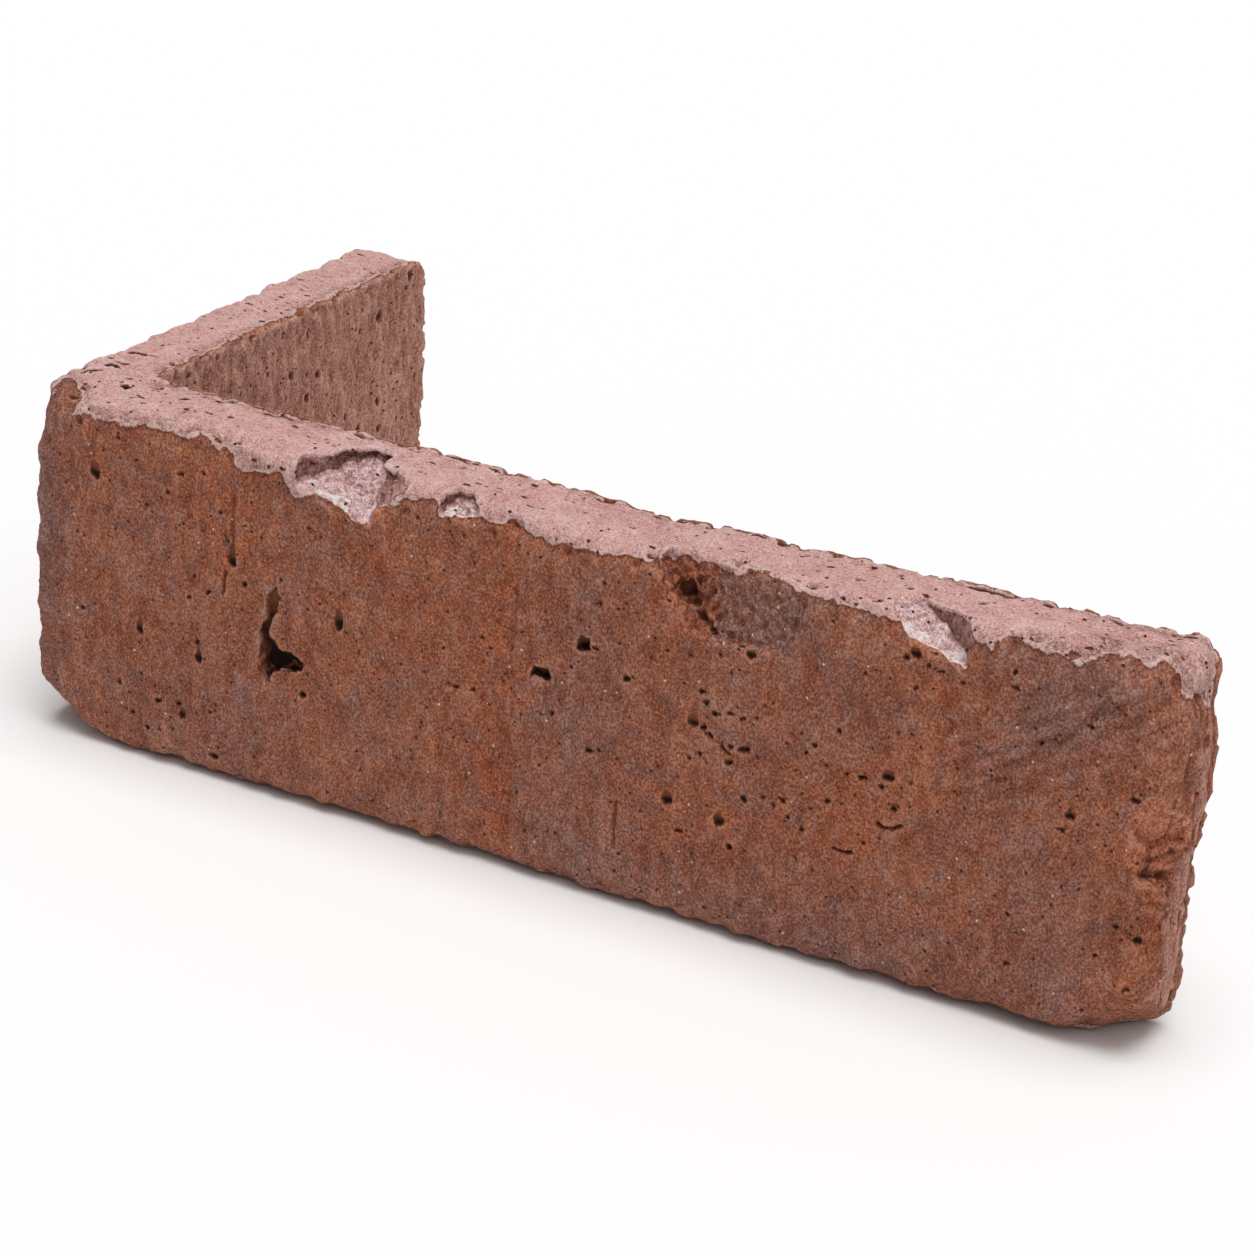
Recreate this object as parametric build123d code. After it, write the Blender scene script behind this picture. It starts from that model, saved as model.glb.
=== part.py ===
"""Corner brick slip: an L-shaped facing cut from one tumbled clay brick.

The solid is made the way the real one is. A whole brick has its arrises worn round by tumbling
and some corners knocked off, a saw takes out everything but a skin on one stretcher and one
header face, and blows leave flakes along the upper arris and gouges in the face. It is one
piece of fired clay.

Millimetres, +Z up. The shape is worked out from the outer bottom corner, with x along the
stretcher face and y back along the header face, and is moved at the end so that the origin
lies at the centre of its box, on the lower bed face.
"""

import os

from build123d import *

# The brick, and the skin that the saw leaves
STRETCHER = 215.0
HEADER = 107.0
HEIGHT = 66.0
THICKNESS = 16.0

# Wear from tumbling: the radius left on every arris, and the dip along the top
ARRIS = 4.2
TOP_DIP = 1.2

# How far a cutting tool starts outside the face that it breaks
PROUD = 2.0

# How far a gouge in the stretcher face sinks downwards for each unit of its depth
UNDERCUT = 0.6

# Corners knocked off to a flat facet: the corner, and what is lost from it along x, y and z
KNOCKED_CORNERS = {
    "lower outer corner": ((0, 0, 0), (17, 13, 12)),
    "lower free corner": ((STRETCHER, 0, 0), (-17, 20, 12)),
    "upper outer corner": ((0, 0, HEIGHT), (9, 12, -15)),
    "upper outer corner, worn": ((0, 0, HEIGHT), (24, 22, -4)),
    "upper free corner": ((STRETCHER, 0, HEIGHT), (-10, 12, -14)),
}

# Flakes off the upper arris. Outlines are on the top face, from the outer corner or the free
# end and back from the stretcher face. Depths are those of the flat floor at the front left,
# the front right and the back.
UPPER_FLAKES = {
    "wide flake": (
        [(56, -1), (57, 2.3), (60.2, 4.7), (62.9, 8.7), (65.1, 10.3), (67.6, 11), (70.2, 10.3), (73, -1)],
        (6.5, 10.5, 2.4),
    ),
    "wide flake, right side": (
        [(68, -1), (71.5, 5.4), (77, 5), (80, -1)],
        (11, 3.6, 2),
    ),
    "small flake": (
        [(84.6, -1), (85.3, 2.6), (86.9, 4.2), (91, 3.4), (93.5, -1)],
        (6.5, 5, 2.2),
    ),
    "long flake": (
        [(STRETCHER - 54, 7.8), (STRETCHER - 52.4, 8.7), (STRETCHER - 46.4, 7.2), (STRETCHER - 40, 5.3),
         (STRETCHER - 35.2, 2.2), (STRETCHER - 34, -1.5), (STRETCHER - 44, -1.5)],
        (2.2, 8.6, 1.6),
    ),
}

# Flakes and gouges in the stretcher face, from the outer corner or the free end and up from the
# bed. Depths are those of the flat floor at the lower left, the lower right and the top.
FACE_FLAKES = {
    "spall": (
        [(STRETCHER - 89, 64), (STRETCHER - 86.5, 58), (STRETCHER - 83, 54), (STRETCHER - 78.5, 52.3),
         (STRETCHER - 66, 53.6), (STRETCHER - 63, 59), (STRETCHER - 62, 67), (STRETCHER - 88, 67)],
        (2.8, 0.3, 3),
    ),
    "broken hollow": (
        [(STRETCHER - 86.5, 58), (STRETCHER - 83, 54), (STRETCHER - 78.8, 52.6), (STRETCHER - 77, 57.5),
         (STRETCHER - 80, 61.5), (STRETCHER - 85, 60.4)],
        (4.6, 2.2, 4),
    ),
    "notch in the free end": (
        [(STRETCHER - 4.4, 43), (STRETCHER - 3.8, 34), (STRETCHER - 1.4, 31.5), (STRETCHER + 1, 31),
         (STRETCHER + 1, 45)],
        (2, 5.5, 2.2),
    ),
}
GOUGES = {
    "tall gouge": (
        [(51.6, 22.4), (52.8, 24.8), (54.4, 26), (55, 29), (52.3, 31.3), (52.7, 33.3), (54.3, 38.7),
         (53.7, 41), (51.6, 39), (51.1, 33.7), (50.2, 31.5), (50.2, 24.2)],
        (4.2, 4.2, 0.5),
    ),
    "gouge foot": ([(54, 25.8), (58.9, 26.6), (58.3, 28.7), (54, 29.4)], (3.8, 3.2, 1)),
    "upper pocket": ([(112.6, 44.6), (115.4, 44.9), (115.2, 47.2), (113, 47)], (2.6, 2.6, 0.6)),
    "lower pocket": ([(104.2, 37.2), (107.6, 37.6), (107.4, 39.8), (104.6, 39.4)], (2.6, 2.6, 0.6)),
}


def plane_through(first, second, third, towards):
    """The plane through three points, its normal on the side of a fourth."""
    normal = (second - first).cross(third - first)
    if normal.dot(towards - first) < 0:
        normal = -normal
    return Plane(origin=first, x_dir=second - first, z_dir=normal)


def tumbled_brick():
    """The whole brick: its top dipped a little, its arrises worn round, some corners lost."""
    brick = Box(STRETCHER, HEADER, HEIGHT, align=(Align.MIN, Align.MIN, Align.MIN))
    middle = Vector(STRETCHER / 2, HEADER / 2, HEIGHT / 2)

    dip_radius = STRETCHER**2 / (8 * TOP_DIP) + TOP_DIP / 2
    dip = Cylinder(dip_radius, HEADER + 2 * PROUD, rotation=(90, 0, 0))
    brick -= Pos(middle.X, middle.Y, HEIGHT - TOP_DIP + dip_radius) * dip

    brick = fillet(brick.edges(), ARRIS)

    for corner, (dx, dy, dz) in KNOCKED_CORNERS.values():
        tip = Vector(corner)
        ends = tip + Vector(dx, 0, 0), tip + Vector(0, dy, 0), tip + Vector(0, 0, dz)
        brick = split(brick, bisect_by=plane_through(*ends, towards=middle), keep=Keep.TOP)
    return brick


def sawn_out():
    """What the saw takes from the brick, which leaves a skin on two faces."""
    waste = Box(STRETCHER, HEADER, HEIGHT + 2 * PROUD, align=(Align.MIN, Align.MIN, Align.MIN))
    return Pos(THICKNESS, THICKNESS, -PROUD) * waste


def flake(outline, depths, undercut=0):
    """What is lost where a flake comes off a face that lies in XY, down to a flat floor."""
    left, right, far = depths
    us = [u for u, _ in outline]
    vs = [v for _, v in outline]
    low_left = Vector(min(us), min(vs), -left)
    low_right = Vector(max(us), min(vs), -right)
    upper = Vector((min(us) + max(us)) / 2, max(vs), -far)
    outside = Vector(min(us), min(vs), PROUD)
    floor = plane_through(low_left, low_right, upper, towards=outside)

    inwards = Vector(0, -undercut, -1)
    mouth = Pos(0, undercut * PROUD, PROUD) * Polygon(*outline, align=None)
    prism = extrude(mouth, (PROUD + 2 * max(depths)) * inwards.length, dir=inwards)
    return split(prism, bisect_by=floor, keep=Keep.TOP)


def corner_brick_slip():
    """The slip as it stands, in the frame of its outer bottom corner."""
    top_face = Plane(origin=(0, 0, HEIGHT), x_dir=(1, 0, 0), z_dir=(0, 0, 1))
    stretcher_face = Plane(origin=(0, 0, 0), x_dir=(1, 0, 0), z_dir=(0, -1, 0))

    slip = tumbled_brick() - sawn_out()
    for outline, depths in UPPER_FLAKES.values():
        slip -= top_face * flake(outline, depths)
    for outline, depths in FACE_FLAKES.values():
        slip -= stretcher_face * flake(outline, depths)
    for outline, depths in GOUGES.values():
        slip -= stretcher_face * flake(outline, depths, UNDERCUT)
    return slip


os.makedirs("parts", exist_ok=True)
slip = Pos(-STRETCHER / 2, -HEADER / 2, 0) * corner_brick_slip()
export_step(slip, "parts/corner_brick_slip.step")
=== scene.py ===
import math

import bpy
import numpy as np
from mathutils import Matrix, Vector


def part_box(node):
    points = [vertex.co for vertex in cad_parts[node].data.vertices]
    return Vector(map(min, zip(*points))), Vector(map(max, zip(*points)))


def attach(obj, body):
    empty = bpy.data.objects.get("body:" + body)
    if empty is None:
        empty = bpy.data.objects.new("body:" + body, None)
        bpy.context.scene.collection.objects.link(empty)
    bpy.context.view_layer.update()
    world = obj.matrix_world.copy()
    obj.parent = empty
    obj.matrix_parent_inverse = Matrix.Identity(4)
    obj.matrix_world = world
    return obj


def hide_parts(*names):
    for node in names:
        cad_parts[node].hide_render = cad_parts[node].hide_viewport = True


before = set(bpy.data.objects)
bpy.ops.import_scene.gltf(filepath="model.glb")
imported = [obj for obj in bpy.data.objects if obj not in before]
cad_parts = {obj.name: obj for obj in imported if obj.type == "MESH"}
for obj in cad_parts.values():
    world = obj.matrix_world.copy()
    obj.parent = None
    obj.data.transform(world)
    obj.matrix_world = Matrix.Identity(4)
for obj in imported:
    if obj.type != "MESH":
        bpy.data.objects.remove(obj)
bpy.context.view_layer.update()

# The slip in millimetres, measured from its outer bottom corner: x along the stretcher face,
# y back along the header face, z up.
NODE = "corner_brick_slip"
MM = 0.001
low, high = (np.array(corner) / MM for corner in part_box(NODE))
LENGTH, DEPTH, _ = high - low
HEIGHT = 66.0
SKIN = 16.0
ARRIS = 4.2
TOP_DIP = 1.2
FOOT = np.array((low[0], low[1], 0.0))

# How squarely a point has to face one way to count as part of a face, from not at all to wholly, and
# how far behind the face it may lie
FACING = 0.55, 0.85
BED_FACING = 0.6, 0.85
SAW_FACING = 0.5, 0.8
NEAR_FACE = 8.0
NEAR_END = 12.0
SAW_PLAY = 0.4
# How far wear reaches from an arris, and the small bites from an edge that the saw left
WORN_REACH = 6.0
BITTEN_REACH = 2.2

# Mesh sizes: the voxels that the solid is filled with, and the triangles that are kept
VOXEL = 0.36
TRIANGLES = 197_000
# A point with less than this share of a mark is plain, and the thinning takes plain points first
PLAIN_BELOW = 0.05
PLAIN_PULL = 1e-5

# Where the photograph was taken from, and the way its axes lie
EYE = np.array((344.0, -427.57, 262.64))
EYE_RIGHT = Vector((0.87472, 0.48166, 0.05365))
EYE_FORWARD = Vector((-0.42256, 0.81219, -0.40222))
LENS = 93.8
SENSOR = 36.0


# Clay relief. Sizes and depths are in mm, and a seed only sets where lumps and holes fall.

# Large odd numbers that scramble a seed and the whole numbers of a cell, 32 bits at a time
SEED_FACTOR, SEED_START = 7919, 17
CELL_FACTORS = 374761393, 668265263, 2246822519
MIX_FACTOR, MIX_SHIFT = np.uint64(1274126177), np.uint64(15)
WORD = np.uint64(0xFFFFFFFF)


def scrambled(seed, *cells):
    """A number from 0 to 1 for each whole-numbered cell, always the same for the same seed."""
    mixed = np.full(cells[0].shape, seed * SEED_FACTOR + SEED_START, dtype=np.uint64)
    for cell, factor in zip(cells, CELL_FACTORS):
        turned = cell.astype(np.int64).astype(np.uint64) * np.uint64(factor)
        mixed = (mixed ^ turned) & WORD
        mixed = (mixed * MIX_FACTOR) & WORD
        mixed ^= mixed >> MIX_SHIFT
    return mixed.astype(np.float64) / float(WORD)


# The ways that a lump can lean at a corner of its cell
LEANS = np.array([
    (1, 1, 0), (-1, 1, 0), (1, -1, 0), (-1, -1, 0), (1, 0, 1), (-1, 0, 1),
    (1, 0, -1), (-1, 0, -1), (0, 1, 1), (0, -1, 1), (0, 1, -1), (0, -1, -1),
], dtype=np.float64)


def lumps(points, size, seed):
    """Smooth lumps and dents of a size in mm, or of three sizes along x, y and z: about -1 to 1."""
    scaled = points / np.asarray(size, dtype=np.float64)
    cell = np.floor(scaled)
    part = scaled - cell
    ease = part**3 * (part * (part * 6 - 15) + 10)
    total = np.zeros(len(points))
    for corner in np.ndindex(2, 2, 2):
        lean = LEANS[(scrambled(seed, *(cell + corner).T) * 11.999).astype(int)]
        share = np.prod(np.where(corner, ease, 1 - ease), axis=1)
        total += share * np.einsum("ij,ij->i", part - corner, lean)
    return total * 1.5


def rough(points, size, seed, octaves=3):
    """Lumps with finer and weaker lumps on them."""
    sizes = np.asarray(size, dtype=np.float64)
    return sum(lumps(points, sizes / 2**i, seed + i) / 2**i for i in range(octaves))


def eased(value, start, end):
    """0 before start, 1 after end, and a smooth rise between them."""
    share = np.clip((value - start) / (end - start), 0, 1)
    return share * share * (3 - 2 * share)


def blow_holes(across, up, spacing, radius, chance, seed):
    """Round holes strewn over a face, one at most to each square of the spacing: 1 at a hole's middle."""
    cell_across, cell_up = np.floor(across / spacing), np.floor(up / spacing)
    deepest = np.zeros(len(across))
    for step_across, step_up in np.ndindex(3, 3):
        here = cell_across + step_across - 1, cell_up + step_up - 1
        side, height, size, luck = (scrambled(seed + i, *here) for i in range(4))
        wide = radius * (0.45 + 0.55 * size**2)
        off_across = (across - (here[0] + side) * spacing) / wide
        off_up = (up - (here[1] + height) * spacing) / wide
        inside = np.clip(1 - off_across**2 - off_up**2, 0, 1)
        deepest = np.maximum(deepest, inside * (luck < chance))
    return deepest


def nicks(points, spacing, radius, chance, seed):
    """How deep each point lies in the bites of small knocks, one at most to each cube of the spacing."""
    cell = np.floor(points / spacing)
    deepest = np.zeros(len(points))
    for step in np.ndindex(3, 3, 3):
        here = cell + step - 1
        *middle, size, luck = (scrambled(seed + i, *here.T) for i in range(5))
        away = np.linalg.norm(points - (here + np.column_stack(middle)) * spacing, axis=1)
        deepest = np.maximum(deepest, (radius * (0.5 + 0.5 * size) - away) * (luck < chance))
    return deepest


def near_line(across, up, line):
    """How far each point lies from a broken line."""
    nearest = np.full(len(across), 1e9)
    for (a0, b0), (a1, b1) in zip(line, line[1:]):
        da, db = a1 - a0, b1 - b0
        along = np.clip(((across - a0) * da + (up - b0) * db) / (da * da + db * db), 0, 1)
        nearest = np.minimum(nearest, np.hypot(across - a0 - along * da, up - b0 - along * db))
    return nearest


def depth_inside(across, up, outline):
    """How far each point lies inside an outline, below 0 outside it."""
    closed = outline + outline[:1]
    inside = np.zeros(len(across), dtype=bool)
    for (a0, b0), (a1, b1) in zip(closed, closed[1:]):
        level = (b0 > up) != (b1 > up)
        inside ^= level & (across < a0 + (up - b0) * (a1 - a0) / ((b1 - b0) or 1))
    away = near_line(across, up, closed)
    return np.where(inside, away, -away)


def blob(across, up, middle, reach):
    """1 at the middle of a soft oval, fading out at its reach."""
    return np.exp(-(((across - middle[0]) / reach[0]) ** 2 + ((up - middle[1]) / reach[1]) ** 2))


# Pits in the stretcher face, as (x, z, half width, half height). Each one slopes in from above
# and stops short at its lower lip, as a stone leaves them when the face is struck off.
PITS = [
    (24.7, 25.8, 0.9, 1.5), (36.6, 26.0, 0.6, 0.8), (37.1, 23.2, 0.8, 1.5), (20.1, 13.9, 0.7, 0.7),
    (24.8, 16.8, 0.5, 0.5), (33.6, 11.0, 1.1, 1.0), (32.7, 12.7, 0.8, 0.5), (28.7, 12.5, 0.8, 0.6),
    (26.5, 6.8, 0.8, 0.6), (40.6, 4.6, 1.1, 0.8), (11.9, 26.2, 0.6, 0.6), (44.7, 23.6, 0.4, 0.4),
    (39.7, 13.3, 0.5, 0.5), (22.8, 8.8, 0.5, 0.5), (15.1, 52.8, 1.4, 1.4), (20.3, 60.4, 0.5, 0.5),
    (33.7, 56.8, 0.5, 0.5), (38.4, 58.0, 0.5, 0.4), (12.2, 61.0, 0.5, 0.4), (17.4, 57.6, 0.4, 0.4),
    (24.2, 57.3, 0.4, 0.4), (26.1, 49.3, 0.5, 0.5), (30.7, 52.9, 0.4, 0.4), (44.4, 43.6, 1.2, 2.0),
    (43.1, 46.5, 0.5, 0.6), (47.0, 39.7, 0.6, 0.8), (36.2, 38.3, 0.5, 0.5), (35.4, 34.2, 0.7, 0.5),
    (39.5, 36.4, 0.5, 0.5), (54.4, 42.5, 0.4, 0.4), (42.0, 51.9, 0.4, 0.5), (66.2, 37.4, 1.2, 1.9),
    (59.2, 21.9, 1.0, 0.8), (60.0, 53.3, 0.4, 0.4), (81.4, 60.0, 0.5, 0.4), (90.5, 59.1, 0.4, 0.4),
    (87.2, 38.1, 0.5, 0.5), (89.8, 31.7, 0.6, 0.5), (93.2, 32.0, 0.6, 0.5), (94.8, 42.1, 0.5, 0.5),
    (96.6, 40.5, 0.4, 0.4), (100.5, 41.8, 0.5, 0.4), (111.8, 41.2, 0.4, 0.4), (117.1, 57.7, 0.5, 0.4),
    (116.5, 53.9, 0.5, 0.5), (122.1, 42.1, 0.9, 0.8), (115.6, 27.2, 0.9, 0.7), (117.5, 27.7, 0.5, 0.4),
    (106.3, 31.1, 0.5, 0.4), (108.4, 31.9, 0.7, 0.5), (116.3, 45.7, 0.5, 0.4), (120.6, 53.9, 0.4, 0.4),
    (129.2, 48.9, 0.5, 0.5), (133.3, 48.7, 0.5, 0.4), (138.6, 50.4, 0.5, 0.4), (144.0, 51.9, 0.8, 0.8),
    (135.8, 43.4, 0.7, 0.6), (136.6, 41.6, 0.6, 0.5), (134.4, 37.4, 1.1, 1.2), (136.2, 36.8, 0.8, 0.7),
    (138.4, 40.1, 0.7, 0.6), (141.3, 41.1, 0.5, 0.4), (143.3, 40.4, 0.6, 0.5), (145.7, 41.3, 0.5, 0.4),
    (153.5, 40.9, 0.4, 0.4), (141.5, 35.2, 0.6, 0.5), (143.9, 35.1, 1.1, 0.8), (141.2, 32.2, 0.9, 0.8),
    (136.1, 32.3, 0.6, 0.5), (134.3, 31.1, 0.5, 0.5), (146.0, 34.3, 0.5, 0.4), (156.0, 39.4, 0.7, 0.5),
    (154.7, 37.6, 0.5, 0.4), (160.1, 43.1, 0.6, 0.5), (158.4, 36.2, 0.5, 0.4), (161.9, 35.8, 0.6, 0.4),
    (164.6, 35.9, 1.1, 0.5), (169.1, 37.4, 1.4, 1.0), (168.0, 35.4, 0.8, 0.5), (170.4, 32.1, 0.7, 0.8),
    (130.6, 22.3, 1.2, 1.1), (140.3, 21.4, 1.1, 1.2), (133.1, 17.2, 0.8, 0.8), (142.6, 17.4, 0.8, 0.7),
    (144.5, 26.7, 0.8, 0.6), (147.7, 27.7, 0.5, 0.6), (151.4, 28.2, 0.8, 0.6), (149.7, 26.9, 0.5, 0.4),
    (152.4, 25.8, 0.6, 0.4), (155.1, 24.3, 0.6, 0.5), (159.1, 30.4, 0.5, 0.5), (165.8, 24.8, 0.5, 0.4),
    (191.1, 20.0, 0.5, 0.5), (198.3, 36.8, 0.7, 0.5), (212.5, 22.0, 0.7, 0.8), (206.1, 17.4, 0.5, 0.4),
    (208.8, 23.1, 0.5, 0.5), (191.9, 11.4, 0.6, 0.5), (211.7, 13.1, 0.6, 0.5), (205.1, 6.7, 0.5, 0.5),
    (201.1, 55.5, 0.6, 0.8), (209.3, 45.1, 0.9, 0.5), (199.4, 39.5, 1.1, 0.7), (193.5, 50.3, 0.5, 0.5),
    (171.7, 59.4, 1.0, 0.8), (170.2, 58.4, 0.6, 0.5), (174.1, 58.2, 0.6, 0.5), (176.2, 57.4, 0.6, 0.5),
    (172.2, 53.8, 0.6, 0.5), (179.9, 56.8, 0.5, 0.4), (188.7, 58.3, 0.8, 0.6), (188.2, 60.5, 0.5, 0.5),
    (129.8, 58.4, 1.6, 1.5), (131.8, 56.4, 1.2, 1.0), (133.3, 54.8, 1.2, 0.9), (136.2, 53.1, 0.9, 0.6),
    (132.0, 60.0, 0.8, 0.6), (163.7, 53.9, 0.4, 0.4),
]
# Cracks and creases in the stretcher face: the line of each one, its half width, its depth, and
# how dark the painted shade in it is
CRACKS = [
    ([(160.6, 22.0), (161.8, 22.2), (163.8, 22.3)], 0.42, 0.9, 1.0),
    ([(167.8, 28.7), (169.4, 28.6), (170.8, 28.9), (171.9, 29.5)], 0.42, 0.9, 1.0),
    ([(139.6, 34.4), (141.5, 33.6)], 0.4, 0.8, 0.8),
    ([(137.2, 36.2), (137.9, 35.4)], 0.4, 0.8, 0.8),
    ([(42.6, 40.7), (42.4, 36.8)], 0.5, 0.8, 0.6),
    ([(121.2, 19.0), (121.0, 15.0), (121.3, 11.2)], 0.7, 0.6, 0.3),
    ([(44.6, 55.0), (44.1, 48.0), (44.6, 44.5)], 0.9, 0.5, 0.2),
    ([(203.5, 60.2), (200.2, 55.6), (196.5, 50.8)], 0.9, 0.5, 0.0),
]
# Gouges in the stretcher face: the outline of each one, how deep its shallow upper end is, and the
# heights of its foot and its top
GOUGES = [
    ([(51.6, 22.4), (52.8, 24.8), (54.2, 25.3), (55.2, 26.4), (56.6, 25.8), (58.9, 26.3),
      (58.6, 28.0), (56.6, 28.8), (55, 29.2), (52.3, 31.3), (52.7, 33.3), (54.3, 38.7),
      (53.7, 41), (51.6, 39), (51.1, 33.7), (50.2, 31.5), (50.2, 24.2)], 0.9, 22.4, 41.0),
    ([(112.6, 44.6), (115.4, 44.9), (115.2, 47.2), (113, 47)], 0.6, 44.4, 47.4),
    ([(104.2, 37.2), (107.6, 37.6), (107.4, 39.8), (104.6, 39.4)], 0.6, 37.0, 40.0),
]
# The notch in the free end, as the photograph sees it: a scoop, the crease along its foot, the ridge
# below the crease, and a second crease
NOTCH_SCOOP = [
    (208.4, 41.0), (209.8, 42.6), (210.6, 45.6), (212.6, 46.8), (214.8, 45.4), (217.0, 45.0), (218.3, 43.4),
    (218.4, 41.0), (217.6, 39.4), (215.1, 37.3), (212.5, 35.7), (211.6, 37.4), (209.4, 38.6),
]
NOTCH_CREASE = [(212.4, 35.7), (215.1, 37.3), (217.8, 39.7)]
NOTCH_RIDGE = [(213.4, 35.2), (215.8, 36.2), (218.2, 38.4)]
LOWER_CREASE = [(212.2, 32.7), (213.4, 33.4), (214.9, 33.8)]
# Slots in the bed at the outer corner, as (x, y, half length, half width). They lie slantwise, the way
# that the clay was wiped.
BED_SLOTS = [
    (6.9, 24.7, 2.2, 0.9), (8.4, 25.6, 1.6, 0.7), (7.5, 15.6, 1.5, 0.6), (7.3, 18.8, 1.3, 0.6),
    (14.3, 12.9, 1.4, 0.6), (15.3, 9.0, 1.2, 0.5), (19.4, 12.2, 1.5, 0.6), (19.8, 6.1, 1.6, 0.5),
    (5.6, 12.4, 1.8, 0.5), (27.0, 10.4, 1.4, 0.5),
]
WIPED = 0.876, 0.482
# The crumbling clay between the hollow and the spall, and the crumbling lip below the notch as the
# photograph sees it: its middle and its reach
CRUMBLED = [
    (127.0, 61.0), (133.4, 62.6), (137.6, 60.6), (138.4, 56.8), (137.0, 52.4), (133.0, 53.2), (128.6, 57.0),
]
CRUMBLY_LIP = (213.5, 32.2), (3.2, 3.0)
# Lines on the stretcher face near the free end: the folds that run down from the corner, and the grey
# smear beside them
FOLDS = [(208, 65), (186, 43)]
SMEAR = [(205, 62), (186, 45)]
# Where the drag band starts, where it is whole, and where it stops short, along the stretcher
DRAG_BAND = 91, 98, 101.2
# Grey bloom and burnt orange on the stretcher face, as (x, z, half width, half height, strength)
BLOOMS = [
    (3, 35, 7, 45, 0.9), (35, 10, 18, 10, 0.5), (114, 28, 10, 28, 0.35), (150, 6, 60, 8, 0.7),
    (197, 20, 8, 12, 0.5), (147, 59, 9, 6, 1.0), (196, 56, 9, 8, 0.5),
]
BURNS = [
    (17, 54, 9, 5, 0.6), (45, 52, 16, 11, 0.6), (85, 45, 11, 16, 0.6), (178, 48, 9, 11, 0.6),
    (209, 13, 9, 12, 0.9), (157, 30, 18, 11, 0.5), (212, 36, 5, 4, 0.8), (134, 58, 4, 4, 0.3),
]
# How much the top of the stretcher rises above its even dip, by distance along it
TOP_RISE = np.array([
    (0, 0.2), (60, 0.5), (74, 0.6), (97, 0.5), (106, 0.2), (113, -0.2), (120, -0.5), (126, 0), (131, 0.4),
    (142, 0.1), (162, 0.4), (183, 0.8), (203, 0.7), (215, 0.9),
])
# How much the lower front arris is lifted, by distance along it
FOOT_RISE = np.array([
    (10, 0.3), (56, 0.4), (150, 0.4), (180, 0.6), (190, 1.2), (198, 1.7), (206, 1.2), (215, 0),
])
# How wide the rubbed edge of the bed skin is, by distance along the stretcher
RUBBED_WIDTH = np.array([
    (0, 2.5), (15, 3.0), (50, 3.2), (60, 1.5), (120, 1.0), (165, 1.2), (185, 2.0), (195, 3.4), (215, 4.0),
])
# The bare facet that parts the skin at the outer corner, as the photograph sees it
WORN_CORNER = [(9.2, 60.2), (6.6, 62.4), (11.2, 66.2)]
# The spall broke along lines that run up to the right across the face
SPALL_GRAIN = np.array(((0.85, 0, 0.53), (0, 1, 0), (-0.53, 0, 0.85))).T
# The pale bed skin as it shows in front, drawn on the plane of the stretcher face as (x, z): its
# lower edge along the upper arris, then its edge down the free end, then round behind
BED_OUTLINE = [
    (-12, 58.5), (-2, 60.6), (8.5, 60.3), (9.7, 61.9), (13.4, 63.2), (15.2, 62.6), (18.5, 62.8), (22.1, 62.8),
    (25.7, 63.6), (29.3, 63.9), (32.2, 64.1), (33.7, 63.4), (37.5, 64.5), (39.6, 63.9), (41.6, 62.9),
    (43.0, 63.1), (44.5, 62.3), (44.8, 61.2), (46.8, 60.5), (49.5, 60.4), (52.5, 61.3), (54.7, 61.6),
    (55.6, 59.7), (57.2, 58.0), (60.7, 59.5), (63.7, 59.6), (66.1, 58.6), (68.3, 57.4), (69.1, 56.3),
    (70.9, 57.0), (73.2, 60.5), (75.3, 61.4), (76.9, 61.3), (78.7, 62.7), (80.8, 63.0), (85.1, 64.0),
    (86.2, 62.6), (87.6, 61.2), (88.6, 62.2), (90.3, 62.9), (93.4, 62.6), (100, 62.5), (106, 62.0),
    (112, 62.2), (117, 62.8), (121.3, 63.4), (125.3, 63.0), (127.1, 63.5), (128.2, 64.4), (132.2, 65.8),
    (133.7, 64.9), (135.9, 65.6), (138.2, 64.7), (140.5, 64.4), (142.6, 65.6), (145.1, 66.2), (147.5, 66.0),
    (149.8, 64.8), (153.2, 64.6), (154.6, 64.1), (156.7, 64.6), (160.1, 64.0), (164.9, 64.0), (170.5, 63.7),
    (171.9, 63.0), (173.3, 61.5), (175.5, 60.8), (177.5, 60.5), (178.9, 61.6), (180.7, 63.8), (182.9, 63.3),
    (184.1, 62.0), (184.5, 63.8), (186.8, 64.4), (189.6, 65.1), (191.5, 64.6), (195.8, 64.7), (198.7, 64.1),
    (199.8, 65.0), (201.9, 66.4), (205.3, 67.0), (209.0, 66.3), (209.7, 67.2), (211.0, 67.8), (212.5, 67.6),
    (213.8, 66.1), (214.2, 64.0), (216.0, 63.2), (217.5, 63.0), (218.1, 61.1), (218.2, 59.5), (217.8, 57.5),
    (216.9, 53.8), (217.1, 51.6), (217.3, 46.2), (218.2, 42.3), (218.8, 40.5), (218.2, 39.3), (216.8, 37.4),
    (217.2, 35.1), (216.8, 29.4), (216.2, 24.5), (216.9, 19.0), (216.8, 16.7), (215.7, 14.1), (214.9, 12.1),
    (214.0, 8.0), (215.0, -5.0), (260.0, -5.0), (260.0, 160.0), (-12, 160.0),
]


def clay_blank():
    """The CAD solid as one even, fine mesh."""
    blank = bpy.data.objects.new("clay_blank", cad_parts[NODE].data.copy())
    bpy.context.scene.collection.objects.link(blank)
    voxels = blank.modifiers.new("voxels", "REMESH")
    voxels.mode = "VOXEL"
    voxels.voxel_size = VOXEL * MM
    filled = blank.evaluated_get(bpy.context.evaluated_depsgraph_get())
    mesh = bpy.data.meshes.new_from_object(filled)
    bpy.data.objects.remove(blank)
    return mesh


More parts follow.
